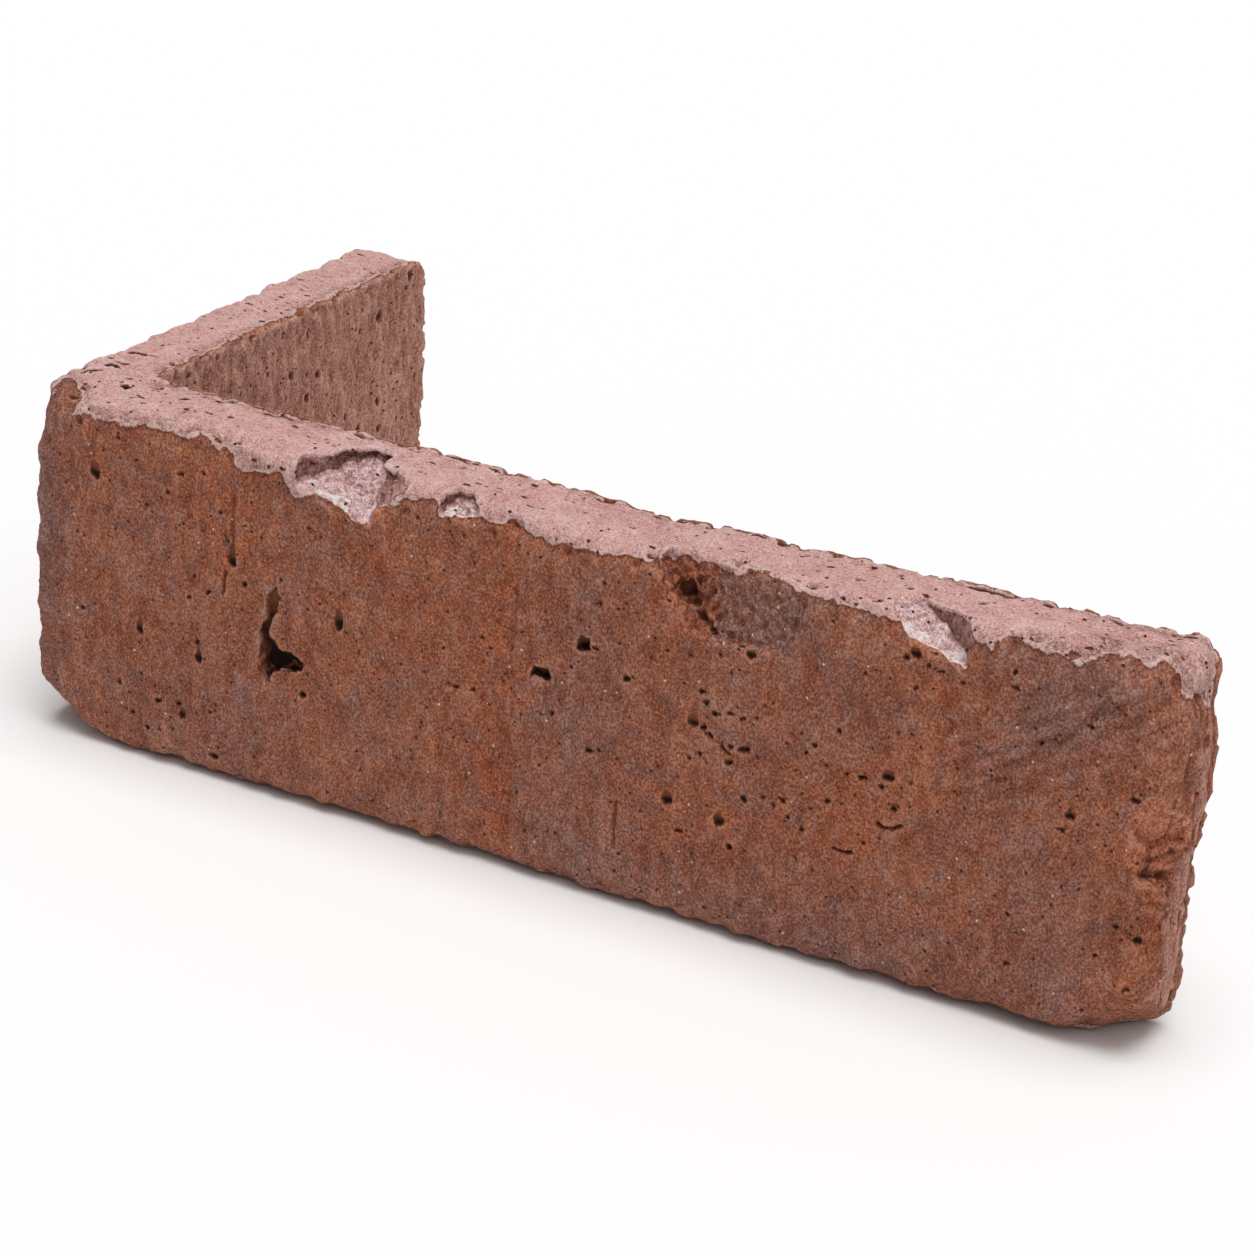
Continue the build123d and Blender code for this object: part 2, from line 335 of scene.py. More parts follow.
def read_points(mesh):
    """The mesh's points in mm from the outer bottom corner, and the way that each one faces."""
    sites = np.empty(len(mesh.vertices) * 3, dtype=np.float32)
    mesh.vertices.foreach_get("co", sites)
    facing = np.empty_like(sites)
    mesh.vertex_normals.foreach_get("vector", facing)
    return sites.reshape(-1, 3) / MM - FOOT, facing.reshape(-1, 3).astype(np.float64)


def write_points(mesh, points):
    mesh.vertices.foreach_set("co", ((points + FOOT) * MM).astype(np.float32).ravel())
    mesh.update()


def worn_down(points, links, share, wear):
    """Rounds off the shape where share is above 0, over a length of about wear in mm, each point
    moving towards the middle of its neighbours."""
    first, second = links
    count = len(points)
    crowd = np.bincount(first, minlength=count) + np.bincount(second, minlength=count)
    points = points.copy()
    for _ in range(math.ceil((wear / VOXEL) ** 2)):
        for axis in range(3):
            at = points[:, axis]
            near = np.bincount(first, at[second], count) + np.bincount(second, at[first], count)
            points[:, axis] = at + 0.6 * share * (near / crowd - at)
    return points


def spread(share, links, reach):
    """Widens a share by about reach in mm, fading at its rim."""
    first, second = links
    wide = share.copy()
    rings = math.ceil(reach / VOXEL)
    for _ in range(rings):
        before = wide.copy()
        np.maximum.at(wide, first, before[second] * (1 - 0.5 / rings))
        np.maximum.at(wide, second, before[first] * (1 - 0.5 / rings))
    return wide


class Survey:
    """What each point of the blank is: its place, its face, and how much the blows have taken."""

    def __init__(self, points, normals):
        self.points = points
        self.x, self.y, self.z = x, y, z = points.T
        self.nx, self.ny, self.nz = nx, ny, nz = normals.T
        self.crown = HEIGHT - TOP_DIP * (1 - ((x - LENGTH / 2) / (LENGTH / 2)) ** 2)
        from_top, from_end, from_back = self.crown - z, LENGTH - x, DEPTH - y

        # Which face a point is on, from 0 to 1
        sawn_back = eased(ny, *SAW_FACING) * (np.abs(y - SKIN) < SAW_PLAY)
        sawn_inner = eased(nx, *SAW_FACING) * (np.abs(x - SKIN) < SAW_PLAY) * (y > SKIN - SAW_PLAY)
        self.sawn = np.maximum(sawn_back, sawn_inner)
        self.front = eased(-ny, *FACING) * (y < NEAR_FACE)
        self.outer = eased(-nx, *FACING) * (x < NEAR_FACE)
        self.upper = eased(nz, *BED_FACING) * (z > 50)
        self.under = eased(-nz, *BED_FACING) * (z < 10)
        self.end = eased(nx, *FACING) * (x > LENGTH - NEAR_END)
        self.far = eased(ny, *FACING) * (y > DEPTH - NEAR_END)

        # How near a point is to a worn arris or to an edge left by the saw
        worn = [
            np.maximum(y, from_top), np.maximum(x, from_top), np.maximum(y, z), np.maximum(x, z),
            np.maximum(x, y), np.maximum(y, from_end), np.maximum(from_end, from_top),
            np.maximum(from_end, z), np.maximum(from_back, from_top), np.maximum(from_back, z),
            np.maximum(from_back, x),
        ]
        self.arris = np.clip(1 - np.min(worn, axis=0) / WORN_REACH, 0, 1)
        behind_back = np.where(x > SKIN - 1, np.abs(SKIN - y), 99)
        behind_inner = np.where(y > SKIN - 1, np.abs(SKIN - x), 99)
        behind = np.minimum(behind_back, behind_inner)
        cut = [
            np.maximum(behind, from_top), np.maximum(behind, z), np.maximum(behind_back, from_end),
            np.maximum(behind_inner, from_back),
        ]
        self.saw_edge = np.clip(1 - np.min(cut, axis=0) / BITTEN_REACH, 0, 1)

        # How far a point lies inside the unbroken tumbled brick, and which blow took the clay there
        q = np.abs(np.column_stack((x - LENGTH / 2, y - DEPTH / 2, z - self.crown + HEIGHT / 2)))
        q -= np.array((LENGTH, DEPTH, HEIGHT)) / 2 - ARRIS
        inside = ARRIS - np.linalg.norm(np.maximum(q, 0), axis=1) - np.minimum(q.max(axis=1), 0)
        lost = eased(np.where(self.sawn > 0.2, 0, inside), 0.3, 0.9)
        self.wide_flake = lost * (x > 53) * (x < 82) * (z > 53)
        self.small_flake = lost * (x > 83) * (x < 95) * (z > 57)
        self.spall = lost * (x > 123) * (x < 156) * (z > 50)
        self.long_flake = lost * (x > 158) * (x < 184) * (z > 54)
        self.notch = lost * (x > 209) * (z > 29) * (z < 47)
        self.gouge = lost * (x > 40) * (x < 120) * (z > 15) * (z < 52)
        self.broken = np.maximum.reduce([self.wide_flake, self.small_flake, self.spall, self.long_flake])
        self.knocked = np.maximum(lost - self.broken - self.gouge, 0)

        # Painted shade on the steep sides of the chips: 1 on a torn wall, painted as shadow, about 0.5 on a
        # brown side, partly the clay's colour and partly painted shade
        steep = np.maximum(self.broken - self.spall, 0) * (1 - eased(nz, 0.25, 0.6))
        self.wall_shade = steep * np.where(x < 60, 0.5, 1 - 0.5 * eased(from_top, 0.9, 1.7) * (x < 100))
        self.wall_shade = np.where(x > 158, 0.55 * self.wall_shade, self.wall_shade)
        self.wall_shade = np.maximum(self.wall_shade, 0.5 * self.wide_flake * eased(x, 70, 71.5))
        self.wall_shade = np.maximum(self.wall_shade, 0.32 * self.small_flake)

        # Where a point would show on the stretcher face to the photograph's eye
        reach = -EYE[1] / (y - EYE[1])
        self.seen_x = EYE[0] + (x - EYE[0]) * reach
        self.seen_z = EYE[2] + (z - EYE[2]) * reach


def reshaped(blank, links):
    """The blank with its knocked corners worn round, and swells and hollows that flat facets leave out."""
    x, y, z = blank.x, blank.y, blank.z
    points = worn_down(blank.points, links, spread(blank.knocked, links, 3.1), 3.0)
    flakes = spread(np.maximum(blank.spall, blank.notch), links, 1.4)
    points = worn_down(points, links, flakes, 1.0)

    # The top rises and falls along the stretcher
    rise = np.interp(x, TOP_RISE[:, 0], TOP_RISE[:, 1]) * eased(z, 56, 65) * (y < SKIN + 0.5)
    points[:, 2] += rise
    # The lower front arris is sharp in the middle and rolls up towards the free end
    foot = np.interp(x, FOOT_RISE[:, 0], FOOT_RISE[:, 1])
    points[:, 2] += foot * (1 - eased(z, 2, 10)) * (1 - eased(y, 1, 9))
    # The free end swells at its middle and draws in below its top, and the outer corner leans in below
    # a full cheek
    end_swell = eased(x, LENGTH - 8, LENGTH - 3) * eased(y, 2, 9)
    points[:, 0] += 0.9 * np.exp(-(((z - 45) / 11) ** 2)) * end_swell
    points[:, 0] -= 0.8 * np.exp(-(((z - 61) / 5) ** 2)) * end_swell
    points[:, 2] += 0.4 * eased(x, LENGTH - 8, LENGTH - 3) * eased(z, 58, 65) * eased(y, 4, 10)
    lean = np.exp(-(((z - 54) / 6) ** 2)) * (1 - eased(x, 4, 14)) * (1 - eased(y, 8, 24))
    points[:, 0] += 0.9 * lean
    cheek = np.exp(-((x / 7) ** 2 + ((y - 6) / 9) ** 2 + ((z - 64) / 5) ** 2))
    points[:, 0] -= 1.6 * cheek
    points[:, 2] += 1.0 * cheek
    return points


def relief(blank, margin, knocks):
    """How far each point stands out of, or sinks into, the reshaped blank, how much painted shade it
    gets in its pits, holes, slits and cracks, and how far it is into the drag band."""
    points, x, y, z = blank.points, blank.x, blank.y, blank.z
    sawn, broken, front = blank.sawn, blank.broken, blank.front

    # Slow unevenness of a hand-struck brick, then lumps
    skin = np.maximum(1 - sawn - broken, 0)
    height = skin * (0.22 * lumps(points, 46, 1) + 0.20 * lumps(points, (13, 13, 18), 2))
    height += skin * 0.42 * rough(points, (4.2, 4.2, 5.5), 3, 2)
    height += skin * 0.25 * lumps(points, (2.6, 9, 8), 8) * (1 - eased(x, 40, 70)) * front
    # The bed skin ends in a low step over the face, and folds run down across the free end
    height += skin * 0.15 * eased(margin, -0.15, 0.3) * (z > 20)
    folds = np.clip(1 - near_line(x, z, FOLDS) / 14, 0, 1) * (y < 9)
    height += skin * 0.55 * folds * lumps(points @ SPALL_GRAIN, (9, 9, 2.0), 9)

    # The drag band: a shallow step where the clay was pulled down the face
    upright = np.column_stack((x * 0, y * 0, z))
    start, whole, stop = DRAG_BAND
    band_edge = stop + 1.2 * rough(upright, 12, 6, 2)
    band = eased(x, start, whole) * (1 - eased(x, band_edge - 0.4, band_edge + 0.4)) * front
    height -= 0.35 * band

    # Arrises crumble; the saw leaves small bites along its edges
    crumbs = rough(points, 3.4, 10, 3)
    height -= blank.arris * (1 - broken) * (0.3 * crumbs + 0.3 * np.abs(lumps(points, 1.3, 14)) + 0.05)
    edge = np.flatnonzero((blank.arris > 0.15) & (sawn < 0.5))
    height[edge] -= 0.35 * nicks(points[edge], 5.0, 2.3, 0.40, 70) * eased(blank.arris[edge], 0.1, 0.4)
    height -= 0.7 * knocks * (1 - broken)
    outer_rim = blank.arris * (x < NEAR_FACE) * eased(y, 4, 10) * eased(z, 54, 60)
    height += 0.6 * outer_rim * lumps(points, (6, 3.4, 6), 66)
    bites = eased(lumps(points, 2.6, 15), 0.10, 0.40)
    height -= blank.saw_edge * (bites * 0.6 - 0.2)

    # Fresh fracture is coarser than the skin
    height += broken * (0.34 * rough(points, 4.0, 20, 3) + 0.14 * lumps(points, 1.1, 24))
    height -= blank.spall * 0.25 * lumps(points @ SPALL_GRAIN, (1.4, 9, 1.4), 26)

    # The sawn faces carry a bark of short upright tears
    height += sawn * (0.55 * rough(points, (2.8, 2.8, 5.0), 30, 2) + 0.15 * lumps(points, 9, 33))
    tears = blow_holes(x + y, z / 1.8, 3.4, 0.85, 0.35, 34) * sawn
    height -= 0.9 * tears

    # Blow holes on the faces that carry no marks of their own
    ragged = 0.35 * lumps(points, 1.6, 38)
    side_holes = blow_holes(y + ragged, z - ragged, 8.0, 0.9, 0.4, 52)
    bed_holes = blow_holes((x + ragged) / 2, y - 0.4 * ragged, 4.2, 0.55, 0.6, 58)
    holes = np.maximum.reduce([
        (blank.outer + blank.far) * side_holes, (blank.upper + blank.under) * bed_holes * (1 - broken),
    ])
    height -= 0.7 * eased(holes, 0, 0.6)
    # Painted shade in the blow holes and tears, and a little in the knocks
    hollow = np.maximum(0.75 * eased(holes, 0.1, 0.6), 0.55 * eased(tears, 0.2, 0.8))
    hollow = np.maximum(hollow, 0.15 * eased(knocks, 0.35, 0.8) * (1 - broken))

    # Slits behind the rim that the saw left along the top and up the free end
    off_line = (y - 14.2 - 0.7 * lumps(points, 14, 110)) / 0.30
    slit_top = np.exp(-(off_line**2)) * blank.upper * (x > SKIN + 2)
    slit_top *= eased(lumps(points, (3.8, 40, 40), 112), 0.08, 0.25)
    off_line = (y - 12.7 - 0.6 * lumps(points, 16, 114)) / 0.50
    slit_end = np.exp(-(off_line**2)) * blank.end
    slit_end *= eased(lumps(points, (40, 40, 6.5), 116), -0.05, 0.2)
    slits = np.maximum(slit_top, slit_end)
    height -= 0.8 * slits
    # Painted shade in the slits
    hollow = np.maximum(hollow, eased(slits, 0.25, 0.75))
    scallops = blank.end * eased(y, 12.9, 14) * np.abs(lumps(points, (9, 9, 4), 118))
    height += 0.45 * scallops
    height += 0.35 * blank.end * rough(points, (9, 1.5, 10), 119, 2) * (1 - eased(y, 12, 13))

    # Marks on the stretcher face that have a place of their own
    facing = eased(-blank.ny, 0.3, 0.6) * (y < NEAR_FACE)
    torn_rim = 0.22 * lumps(points, 0.9, 39)
    for px, pz, wide, tall in PITS:
        wide, tall = 0.88 * wide, 0.88 * tall
        across, down = (x + 0.5 * ragged + torn_rim - px) / wide, (pz - z + 0.5 * ragged - torn_rim) / tall
        down = np.where(down < 0, down / (1.8 if tall > 0.8 else 1.2), down)
        inside_pit = np.clip(1 - across**2 - down**2, 0, 1) ** 0.5 * facing
        height -= (0.4 + 0.8 * wide) * inside_pit * np.clip(0.6 + 0.5 * down, 0, 1)
        # Painted shade in each pit, darkest towards its lower lip
        hollow = np.maximum(hollow, eased(inside_pit, 0.05, 0.5) * (0.3 + 0.7 * eased(down, -0.45, 0.35)))
    for px, py, long, wide in BED_SLOTS:
        off_x, off_y = x + 0.6 * ragged - px, y + 0.6 * ragged - py
        along = (off_x * WIPED[0] + off_y * WIPED[1]) / long
        aside = (off_y * WIPED[0] - off_x * WIPED[1] + torn_rim) / wide
        inside_slot = np.clip(1 - along**2 - aside**2, 0, 1) ** 0.5 * blank.upper
        height -= 1.0 * inside_slot
        # Painted shade in each slot
        hollow = np.maximum(hollow, eased(inside_slot, 0.05, 0.6))
    for line, wide, depth, dark in CRACKS:
        sunk = np.clip(1 - near_line(x + 0.5 * ragged, z + ragged, line) / wide, 0, 1) * (y < 7)
        height -= depth * sunk
        # Painted shade along each crack
        hollow = np.maximum(hollow, dark * eased(sunk, 0.2, 0.8))
    twist = ragged + 0.6 * lumps(points, 3.2, 63)
    across, up = blank.seen_x + twist, blank.seen_z + twist
    free_end = (x > 200) * (y < 10) * (1 - sawn)
    scoop = eased(depth_inside(across, up, NOTCH_SCOOP), -0.2, 1.4) * free_end
    crease = near_line(across, up, NOTCH_CREASE)
    lower_crease = near_line(across, up, LOWER_CREASE)
    height -= scoop * 2.2 * np.clip(1.1 - crease / 8, 0.2, 1)
    height += 0.9 * np.clip(1 - near_line(across, up, NOTCH_RIDGE) / 1.1, 0, 1) * free_end
    height -= 1.2 * np.clip(1 - lower_crease / 1.4, 0, 1) * free_end
    crumbly = blob(across, up, *CRUMBLY_LIP) * free_end
    height += 1.1 * crumbly * lumps(points, 1.7, 64)
    # Painted shade along the two creases of the notch, in patches
    crease_shade = 0.3 + 0.5 * eased(lumps(points, 1.8, 65), -0.2, 0.3)
    hollow = np.maximum(hollow, crease_shade * (1 - eased(crease, 0.0, 0.45)) * free_end)
    hollow = np.maximum(hollow, crease_shade * (1 - eased(lower_crease, 0.0, 0.45)) * free_end)
    crumbled = eased(depth_inside(x + ragged, z + ragged, CRUMBLED), -0.3, 0.8) * (y < 8)
    height += 0.7 * crumbled * rough(points, 2.4, 62, 2)
    # Less of the other painted shade on the crumbled clay, and painted shade in its dents
    hollow = hollow * (1 - 0.5 * crumbled) + 0.25 * crumbled * eased(-rough(points, 2.4, 62, 2), 0, 0.4)
    for outline, depth, foot_z, top_z in GOUGES:
        inside_gouge = depth_inside(x + 0.4 * ragged, z + 0.4 * ragged, outline)
        sunk = eased(inside_gouge, -0.1, 0.5) * (y < 7)
        height -= depth * sunk * (1 - blank.gouge)
        lower = np.clip((top_z - z) / (top_z - foot_z), 0, 1)
        # Painted shade in each gouge, darker towards its foot
        shade = eased(inside_gouge, -0.25, 0.25) * np.clip(0.35 + 0.8 * lower, 0, 1)
        hollow = np.maximum(hollow, shade * (y < 9))
    return height, hollow, band


def bed_margin(blank):
    """How far a point lies inside the pale bed skin in mm, below 0 outside its frayed edge, and how deep
    it lies in the knocks along that edge."""
    x, y, z = blank.x, blank.y, blank.z
    shown = depth_inside(blank.seen_x, blank.seen_z, BED_OUTLINE)
    outer_side = z + 0.5 * x - 63.5
    far_side = z + 0.5 * (DEPTH - y) - 63.5
    far_strip = np.minimum(x - 6.5, 13.2 - x)
    hidden = np.minimum(outer_side, far_side)
    margin = np.where((y < SKIN + 0.5) & ~((blank.nx < -0.35) & (x < 8)), shown, hidden)
    margin = np.where(blank.far > 0.5, np.maximum(margin, far_strip), margin)
    ribs = 1.3 + 2.4 * rough(blank.points, (9, 1.5, 10), 119, 2)
    margin = np.where((blank.end > 0.5) & (z < 58), np.minimum(margin, ribs), margin)
    worn_corner = near_line(blank.seen_x, blank.seen_z, WORN_CORNER)
    margin = np.where(y < 12, np.minimum(margin, worn_corner - 1.5), margin)
    behind = np.where(x > SKIN + 2, y, np.where(y > SKIN + 2, x, 0))
    margin = np.minimum(margin, np.where(blank.nz > 0.3, 15.1, 13.3) - behind)
    inset = np.minimum(np.minimum(x, y), np.minimum(LENGTH - x, DEPTH - y)) - 4.5
    margin = np.where((blank.nz < -0.3) & (z < 12), np.minimum(inset, 1.5 - z), margin)
    margin = margin + 0.5 * rough(blank.points, 2.6, 80, 3)
    knocks = np.zeros(len(x))
    edge = np.flatnonzero((np.abs(margin) < 3.0) & (y < 13) & (z > 50) & (blank.sawn < 0.5))
    knocks[edge] = nicks(blank.points[edge], 3.6, 2.0, 0.5, 75) * (1 - eased(np.abs(margin[edge]), 1.2, 3.0))
    knocks = np.maximum(knocks, 0)
    return margin - 1.5 * eased(knocks, 0.05, 0.45), knocks


def finishes(blank, margin, hollow, band):
    """How much of each finish a point has, with the painted shade in its recesses and on its chip walls."""
    x, y, z = blank.x, blank.y, blank.z
    fading = 1 - eased(y, 5, 13)
    bloom = sum(s * blob(x, z, (bx, bz), (rx, rz)) for bx, bz, rx, rz, s in BLOOMS) * fading
    burnt = sum(s * blob(x, z, (bx, bz), (rx, rz)) for bx, bz, rx, rz, s in BURNS) * fading
    for px, pz, wide, tall in PITS:
        if tall >= 0.8:
            burnt = burnt + 0.8 * blob(x, z, (px, pz + tall), (2 * wide, 1.6 * tall)) * blank.front
    cloud = rough(blank.points, (17, 17, 26), 97, 3)
    crumbled = eased(depth_inside(x, z, CRUMBLED), -0.6, 0.6) * (y < 8)
    smear = np.clip(1 - near_line(x, z, SMEAR) / 9, 0, 1) * (y < 12)
    strata = 0.6 + 0.6 * lumps(blank.points @ SPALL_GRAIN, (7, 9, 1.1), 27)
    bloom += 0.3 * eased(cloud, 0.1, 0.6) + smear * strata + 0.9 * blank.spall * eased(x, 135, 139)
    burnt += 0.3 * crumbled + 0.9 * band + 0.3 * eased(-cloud, 0.1, 0.6)
    scooped = eased(depth_inside(blank.seen_x, blank.seen_z, NOTCH_SCOOP), -0.2, 0.5) * (x > 200) * (y < 10)
    width = np.interp(x, RUBBED_WIDTH[:, 0], RUBBED_WIDTH[:, 1]) + 0.8 * rough(blank.points, 4.5, 84, 2)
    rubbed = 1 - eased(margin, 0.3 * width, np.maximum(width, 0.6))
    # Down the two ends the skin is rubbed away to a strip of bare clay
    strip = np.maximum(blank.end, blank.far) * (1 - eased(z, 54, 60)) * eased(margin, -0.3, 0.5)
    return {
        "bed_margin": np.clip(margin - 3 * strip, -3, 3),
        "rubbed": rubbed,
        "sawn": np.maximum(blank.sawn, 0.85 * strip),
        "wall_shade": blank.wall_shade,
        "broken": np.maximum(blank.broken - blank.spall, 0),
        "hollow": hollow,
        "bloom": np.clip(bloom * (1 - band), 0, 1),
        "burnt": np.clip(burnt, 0, 1),
        "scooped": scooped,
    }


def ridges(points, normals, links):
    """How far each point stands above its neighbours: 1 on a sharp ridge, -1 in a sharp crease."""
    first, second = links
    count = len(points)
    crowd = np.bincount(first, minlength=count) + np.bincount(second, minlength=count)
    away = np.zeros(count)
    for axis in range(3):
        at = points[:, axis]
        near = np.bincount(first, at[second], count) + np.bincount(second, at[first], count)
        away += (at - near / crowd) * normals[:, axis]
    for _ in range(2):
        near = np.bincount(first, away[second], count) + np.bincount(second, away[first], count)
        away = 0.5 * away + 0.5 * near / crowd
    return np.clip(away / (2.5 * away.std()), -1, 1)


def slip_piece():
    """The finished mesh, thinned to the triangles that it needs, with its finishes on its points."""
    mesh = clay_blank()
    ends = np.empty(len(mesh.edges) * 2, dtype=np.int32)
    mesh.edges.foreach_get("vertices", ends)
    links = ends[0::2], ends[1::2]
    blank = Survey(*read_points(mesh))
    write_points(mesh, reshaped(blank, links))
    points, normals = read_points(mesh)
    margin, knocks = bed_margin(blank)
    height, hollow, band = relief(blank, margin, knocks)
    points += normals * height[:, None]
    crumbling = spread(np.maximum(blank.broken, blank.gouge), links, 1.3)
    for axis in range(3):
        ripple = 0.42 * rough(blank.points, 2.2, 130 + 5 * axis, 2)
        points[:, axis] += crumbling * ripple * (1 - blank.spall)
    points[:, 2] = np.maximum(points[:, 2], 0.0)
    write_points(mesh, points)
    points, normals = read_points(mesh)
    shares = finishes(blank, margin, hollow, band)
    shares["ridge"] = ridges(points, normals, links)
    for name, share in shares.items():
        layer = mesh.attributes.new(name, "FLOAT", "POINT")
        layer.data.foreach_set("value", share.astype(np.float32))

    piece = bpy.data.objects.new("tumbled_clay_slip", mesh)
    bpy.context.scene.collection.objects.link(piece)
    faces = sum(len(polygon.vertices) - 2 for polygon in mesh.polygons)
    marked = spread(np.maximum((hollow > 0.02) * 1.0, crumbling), links, VOXEL) * (blank.y < SKIN - 0.5)
    plain = piece.vertex_groups.new(name="plain")
    plain.add(np.flatnonzero(marked < PLAIN_BELOW).tolist(), 1.0, "REPLACE")
    thin = piece.modifiers.new("thin", "DECIMATE")
    thin.ratio = min(1.0, TRIANGLES / faces)
    thin.vertex_group = "plain"
    thin.vertex_group_factor = PLAIN_PULL
    kept = piece.evaluated_get(bpy.context.evaluated_depsgraph_get())
    thinned = bpy.data.meshes.new_from_object(kept)
    piece.modifiers.clear()
    piece.vertex_groups.clear()
    piece.data = thinned
    points, _ = read_points(thinned)
    points[:, 2] = np.maximum(points[:, 2], 0.0)
    write_points(thinned, points)
    thinned.shade_smooth()
    return piece


# Finishes

def linear(colour):
    """An sRGB hex colour as the linear colour that a shader takes."""
    parts = (int(colour[i:i + 2], 16) / 255 for i in (1, 3, 5))
    return tuple(p / 12.92 if p <= 0.04045 else ((p + 0.055) / 1.055) ** 2.4 for p in parts) + (1.0,)


def put(tree, kind, sockets, output=0, **settings):
    """Adds a node with its settings, gives its sockets their values or links, and hands on an output."""
    node = tree.nodes.new("ShaderNode" + kind)
    for name, value in settings.items():
        setattr(node, name, value)
    for socket, value in sockets.items():
        if isinstance(value, bpy.types.NodeSocket):
            tree.links.new(value, node.inputs[socket])
        else:
            node.inputs[socket].default_value = value
    return None if output is None else node.outputs[output]


def per_mm(size):
    """The scale of a texture in metres whose marks are that many millimetres across."""
    return 1 / (size * MM)


# The colours that each finish goes through, from the dark of its grain to the light
STRUCK_FACE = "#66301c", "#955a43", "#ba8770"
BURNT_FACE = "#642b17", "#995336", "#c87f5a"
BLOOMED_FACE = "#5d3a32", "#81574c", "#aa8780"
SCOOPED = "#7a3d28", "#b46d50", "#d39a80"
BED_SKIN = "#a67069", "#cf9f99", "#e0c0bb"
RUBBED_BED = "#744b42", "#ab8178", "#d5b3ac"
SAWN_BACK = "#7b4839", "#b17c6b", "#d6a898"
# Painted shadow on torn chip walls
WALL_SHADOW = "#351b15", "#5d3d37", "#8a6864"
# The brown of chip sides, partly the clay's colour and partly painted shade
SHADED_CHIP_SIDE = "#5d352f", "#8c5f59", "#b0867f"
CHIP_FLOOR = "#99706e", "#cda6a4", "#ebdddb"
# Painted shade in holes and recesses: brown at the rim, black at the heart
PIT_SHADE = "#6a3a26"
PIT_SHADOW = "#1c0c06"
GRIT = "#e6d3bd"
TABLE_WHITE = "#f7f7f7"
SKY_WHITE = "#ffffff"
# The middle of the clay's tone, and how far it goes to either side
TONE = 0.725
TONE_REACH = 0.225
# The shares of each finish and of painted shade that the points of the mesh carry
SHARES = "bed_margin", "rubbed", "sawn", "wall_shade", "broken", "hollow", "bloom", "burnt", "scooped", "ridge"


def fired(tree, tone, colours):
    """A finish's colour, which goes from its dark through its middle to its light with the tone."""
    dark, middle, light = (linear(colour) for colour in colours)
    lower = put(tree, "MapRange", {0: tone, 1: TONE - TONE_REACH, 2: TONE})
    upper = put(tree, "MapRange", {0: tone, 1: TONE, 2: TONE + TONE_REACH})
    shade = put(tree, "Mix", {0: lower, 6: dark, 7: middle}, 2, data_type="RGBA")
    return put(tree, "Mix", {0: upper, 6: shade, 7: light}, 2, data_type="RGBA")


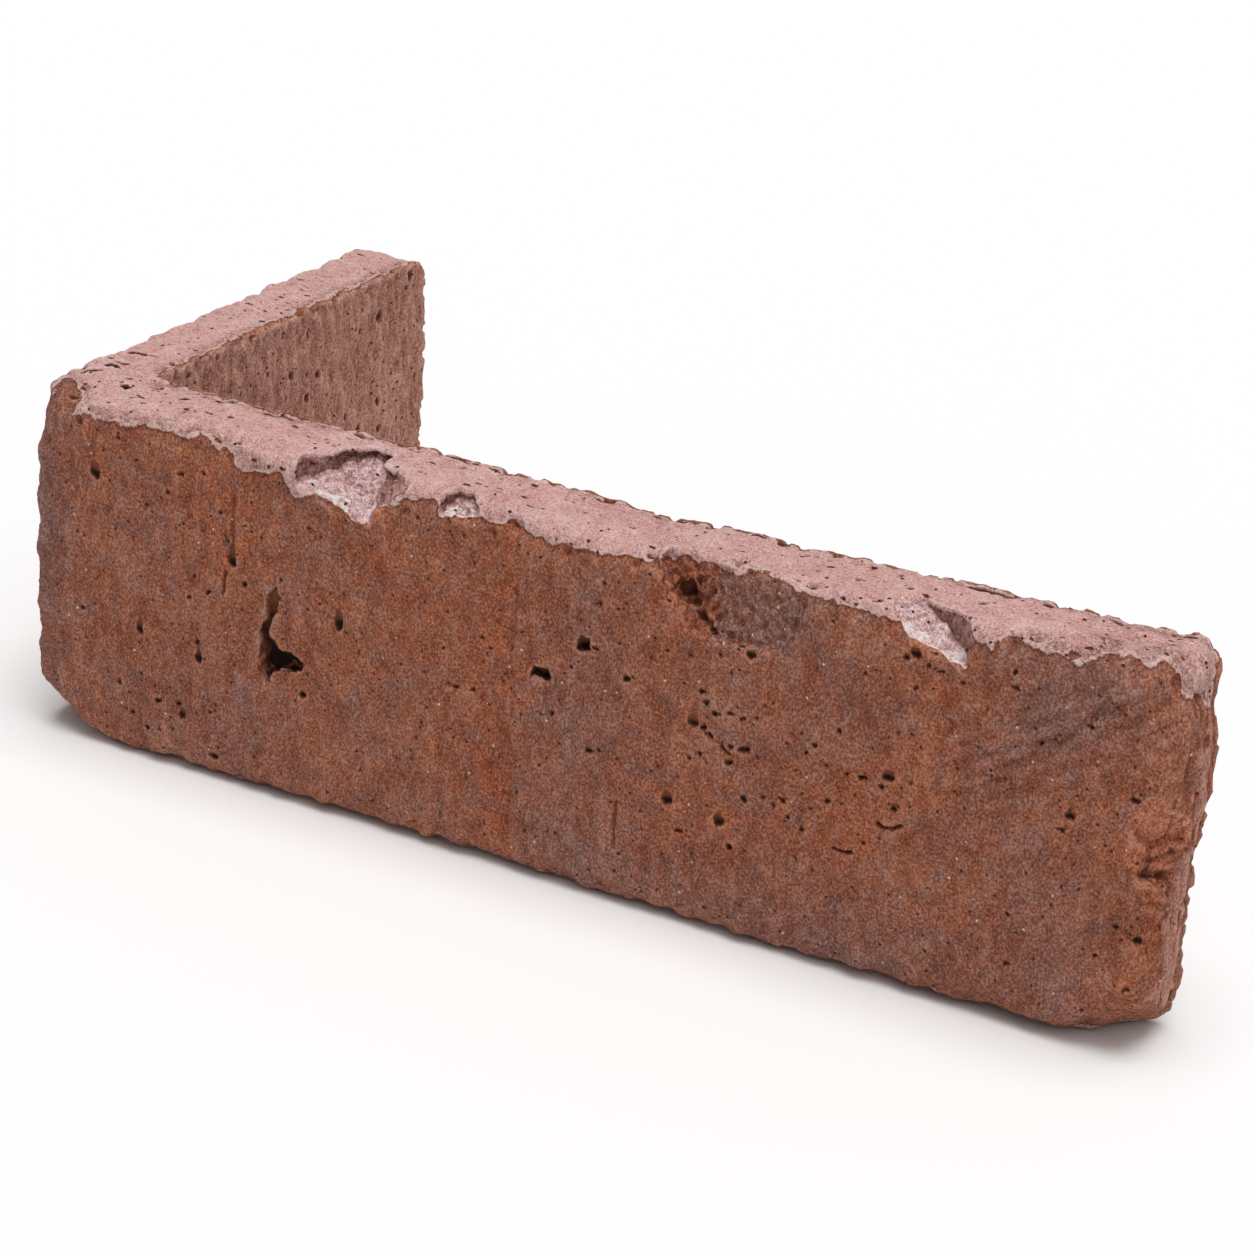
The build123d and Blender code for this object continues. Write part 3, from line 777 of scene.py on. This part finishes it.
def tumbled_fired_clay():
    """Fired clay, sand-struck and tumbled: matt and dry, sandy grain and fine upright streaks on the
    faces, a paler pink skin on the beds, grey bloom, burnt orange patches, painted shade in blow holes,
    pits, cracks, on chip walls and below the skin's edge, and painted highlight on ridges and along the
    skin's edge."""
    material = bpy.data.materials.new("tumbled_fired_clay")
    material.use_nodes = True
    tree = material.node_tree
    tree.nodes.clear()

    place = put(tree, "TexCoord", {}, "Object")
    finish = {name: put(tree, "Attribute", {}, "Fac", attribute_name=name) for name in SHARES}

    # Grain: sharp sand, drawn at about 0.4 mm because finer grains would not show, streaks pulled down
    # the face, slow patches, and a painted highlight on ridges with painted shade in creases
    tall = put(tree, "Mapping", {"Vector": place, "Scale": (1, 1, 0.85)})
    long = put(tree, "Mapping", {"Vector": place, "Scale": (1, 1, 0.3)})
    sand = put(tree, "TexNoise", {
        "Vector": tall, "Scale": per_mm(0.4), "Detail": 2.0, "Roughness": 0.6, "Distortion": 0.3})
    streaks = put(tree, "TexNoise", {
        "Vector": long, "Scale": per_mm(2.6), "Detail": 4.0, "Roughness": 0.6, "Distortion": 0.5})
    patches = put(tree, "TexNoise", {"Vector": place, "Scale": per_mm(9), "Detail": 4.0})
    tone = put(tree, "Math", {0: streaks, 1: 0.2, 2: sand}, operation="MULTIPLY_ADD")
    tone = put(tree, "Math", {0: patches, 1: 0.25, 2: tone}, operation="MULTIPLY_ADD")
    # Painted highlight on ridges of the mesh, painted shade in its creases
    tone = put(tree, "Math", {0: finish["ridge"], 1: 0.13, 2: tone}, operation="MULTIPLY_ADD")

    # Ragged edges between finishes, broken up over about 1 mm
    fray = put(tree, "TexNoise", {"Vector": place, "Scale": per_mm(1.5), "Detail": 2.0, "Roughness": 0.6})
    fray_mm = put(tree, "MapRange", {0: fray, 1: 0.3, 2: 0.7, 3: -0.35, 4: 0.35}, clamp=False)
    fray_share = put(tree, "MapRange", {0: fray, 1: 0.3, 2: 0.7, 3: -0.15, 4: 0.15}, clamp=False)

    # The struck face, burnt and bloomed in places and from grain to grain, with a painted shadow just
    # below the bed skin, then the orange scoop and the sawn backs
    margin = put(tree, "Math", {0: finish["bed_margin"], 1: fray_mm}, operation="ADD")
    # Painted shadow just below the bed skin's edge
    shadow_below_skin = put(tree, "MapRange", {0: margin, 1: -0.9, 2: -0.1, 3: 0.0, 4: -0.16})
    face_tone = put(tree, "Math", {0: tone, 1: shadow_below_skin}, operation="ADD")
    fleck = put(tree, "TexNoise", {"Vector": tall, "Scale": per_mm(3.0), "Detail": 4.0, "Roughness": 0.6})
    flecks_burnt = put(tree, "MapRange", {0: fleck, 1: 0.48, 2: 0.68, 3: 0.0, 4: 0.6})
    flecks_pale = put(tree, "MapRange", {0: fleck, 1: 0.5, 2: 0.32, 3: 0.0, 4: 0.6})
    burn = put(tree, "Math", {0: finish["burnt"], 1: 0.6, 2: flecks_burnt},
               operation="MULTIPLY_ADD", use_clamp=True)
    haze = put(tree, "Math", {0: finish["bloom"], 1: 0.75, 2: flecks_pale},
               operation="MULTIPLY_ADD", use_clamp=True)
    clay = fired(tree, face_tone, STRUCK_FACE)
    for share, grain, colours in (
        (burn, face_tone, BURNT_FACE), (haze, face_tone, BLOOMED_FACE),
        (finish["scooped"], tone, SCOOPED), (finish["sawn"], tone, SAWN_BACK),
    ):
        clay = put(tree, "Mix", {0: share, 6: clay, 7: fired(tree, grain, colours)}, 2, data_type="RGBA")

    # The bed skin lies over it up to a ragged margin, along which it is rubbed grey and sandy, with a
    # painted highlight at the very edge
    bedded = put(tree, "MapRange", {0: margin, 1: -0.12, 2: 0.12})
    rubbed = put(tree, "Math", {0: finish["rubbed"], 1: fray_share}, operation="ADD", use_clamp=True)
    # Painted highlight along the skin's edge
    edge_highlight = put(tree, "MapRange", {0: margin, 1: 0.8, 2: 0.2, 3: 0.0, 4: 0.16})
    tone = put(tree, "Math", {0: tone, 1: edge_highlight}, operation="ADD")
    skin = put(tree, "Mix", {
        0: rubbed, 6: fired(tree, tone, BED_SKIN), 7: fired(tree, tone, RUBBED_BED)}, 2, data_type="RGBA")
    clay = put(tree, "Mix", {0: bedded, 6: clay, 7: skin}, 2, data_type="RGBA")

    # Chips: pale mottled floors, brown sides that are partly painted shade, and torn walls in painted shadow
    chipped = put(tree, "Math", {0: finish["broken"], 1: fray_share}, operation="ADD")
    chipped = put(tree, "MapRange", {0: chipped, 1: 0.45, 2: 0.6})
    wall_shade = put(tree, "Math", {0: finish["wall_shade"], 1: fray_share}, operation="ADD")
    side_shaded = put(tree, "MapRange", {0: wall_shade, 1: 0.25, 2: 0.4})
    wall_shadowed = put(tree, "MapRange", {0: wall_shade, 1: 0.65, 2: 0.8})
    for share, colours in ((chipped, CHIP_FLOOR), (side_shaded, SHADED_CHIP_SIDE), (wall_shadowed, WALL_SHADOW)):
        clay = put(tree, "Mix", {0: share, 6: clay, 7: fired(tree, tone, colours)}, 2, data_type="RGBA")

    # Pinholes of about 0.35 mm everywhere, rounder holes of about 0.5 mm in the bed, and pale grits; the
    # holes get painted shade
    wobble = put(tree, "TexNoise", {"Vector": place, "Scale": per_mm(1.1), "Detail": 2.0}, "Color")
    shaken = put(tree, "VectorMath", {0: wobble, 1: (0.7 * MM,) * 3, 2: place}, operation="MULTIPLY_ADD")
    pin = put(tree, "TexVoronoi", {"Vector": shaken, "Scale": per_mm(2.4)}, "Distance")
    pins = put(tree, "MapRange", {0: pin, 1: 0.14, 2: 0.10, 3: 0.0, 4: 0.7})
    drawn = put(tree, "Mapping", {"Vector": shaken, "Scale": (0.45, 1, 1)})
    slot = put(tree, "TexVoronoi", {"Vector": drawn, "Scale": per_mm(2.6)}, "Distance")
    slots = put(tree, "MapRange", {0: slot, 1: 0.15, 2: 0.10, 3: 0.0, 4: 0.7})
    slots = put(tree, "Math", {0: slots, 1: bedded}, operation="MULTIPLY")
    grit = put(tree, "TexVoronoi", {"Vector": place, "Scale": per_mm(4.1)}, "Distance")
    grits = put(tree, "MapRange", {0: grit, 1: 0.065, 2: 0.045, 3: 0.0, 4: 0.8})
    clay = put(tree, "Mix", {0: grits, 6: clay, 7: linear(GRIT)}, 2, data_type="RGBA")
    dark = put(tree, "Math", {0: pins, 1: slots}, operation="MAXIMUM")
    dark = put(tree, "Math", {0: dark, 1: finish["hollow"]}, operation="MAXIMUM")
    # Brown painted shade at the rim of each hole and recess, black at its heart
    for rim, heart, colour in ((0.08, 0.45, PIT_SHADE), (0.45, 0.95, PIT_SHADOW)):
        sunk = put(tree, "MapRange", {0: dark, 1: rim, 2: heart})
        clay = put(tree, "Mix", {0: sunk, 6: clay, 7: linear(colour)}, 2, data_type="RGBA")

    # Sand, frayed grain and pinholes stand out of the surface or sink into it by up to 0.4 mm
    height = put(tree, "Math", {0: dark, 1: -0.8, 2: sand}, operation="MULTIPLY_ADD")
    height = put(tree, "Math", {0: fray, 1: 0.9, 2: height}, operation="MULTIPLY_ADD")
    bump = put(tree, "Bump", {"Strength": 1.0, "Distance": 0.4 * MM, "Height": height})
    shader = put(tree, "BsdfPrincipled", {
        "Base Color": clay, "Roughness": 0.88, "IOR": 1.5, "Specular IOR Level": 0.25, "Normal": bump})
    put(tree, "OutputMaterial", {"Surface": shader}, None)
    return material


# Studio, in metres

TABLE_REACH = 4.0
# How bright the surroundings are as they light the slip, and as they are seen
FILL_LEVEL = 0.25
SEEN_LEVEL = 1.0


def studio_floor():
    """A plain white table, which keeps the slip's shadow."""
    side = TABLE_REACH
    corners = [(-side, -side, 0), (side, -side, 0), (side, side, 0), (-side, side, 0)]
    mesh = bpy.data.meshes.new("studio_floor")
    mesh.from_pydata(corners, [], [(0, 1, 2, 3)])
    floor = bpy.data.objects.new("studio_floor", mesh)
    bpy.context.scene.collection.objects.link(floor)
    material = bpy.data.materials.new("matt_white_table")
    material.use_nodes = True
    tree = material.node_tree
    tree.nodes.clear()
    matt = put(tree, "BsdfDiffuse", {"Color": linear(TABLE_WHITE)})
    put(tree, "OutputMaterial", {"Surface": matt}, None)
    mesh.materials.append(material)


# Broad soft lamps: name, strength, spread in degrees, and the way that the light goes
SOFTBOXES = [
    ("overhead_softbox", 2.15, 40, (-0.10, 0.08, -1.0)),
    ("front_softbox", 0.55, 40, (-0.48, 0.52, -1.0)),
]


def studio_light():
    """Even white surroundings, a broad soft lamp overhead and a weaker one in front."""
    world = bpy.data.worlds.new("studio")
    bpy.context.scene.world = world
    world.use_nodes = True
    tree = world.node_tree
    tree.nodes.clear()
    seen = put(tree, "LightPath", {}, "Is Camera Ray")
    for ray in ("Is Glossy Ray", "Is Transmission Ray"):
        seen = put(tree, "Math", {0: seen, 1: put(tree, "LightPath", {}, ray)}, operation="MAXIMUM")
    level = put(tree, "MapRange", {0: seen, 3: FILL_LEVEL, 4: SEEN_LEVEL})
    sky = put(tree, "Background", {"Color": linear(SKY_WHITE), "Strength": level})
    put(tree, "OutputWorld", {"Surface": sky}, None)

    for name, energy, spread_deg, towards in SOFTBOXES:
        lamp = bpy.data.lights.new(name, "SUN")
        lamp.energy = energy
        lamp.angle = math.radians(spread_deg)
        softbox = bpy.data.objects.new(name, lamp)
        softbox.rotation_euler = Vector(towards).to_track_quat("-Z", "Y").to_euler()
        bpy.context.scene.collection.objects.link(softbox)


def photograph_camera():
    """The camera where the photograph was taken from."""
    data = bpy.data.cameras.new("camera")
    data.lens = LENS
    data.sensor_width = SENSOR
    camera = bpy.data.objects.new("camera", data)
    bpy.context.scene.collection.objects.link(camera)
    back = -EYE_FORWARD.normalized()
    right = (EYE_RIGHT - back * EYE_RIGHT.dot(back)).normalized()
    turn = Matrix((right, back.cross(right), back)).transposed().to_4x4()
    stand = Vector((EYE + FOOT) * MM)
    camera.matrix_world = Matrix.Translation(stand) @ turn
    bpy.context.scene.camera = camera


photograph_camera()
studio_floor()
studio_light()
slip = slip_piece()
slip.data.materials.clear()
slip.data.materials.append(tumbled_fired_clay())
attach(slip, "root")
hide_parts(NODE)

bpy.context.scene.view_settings.view_transform = "Standard"
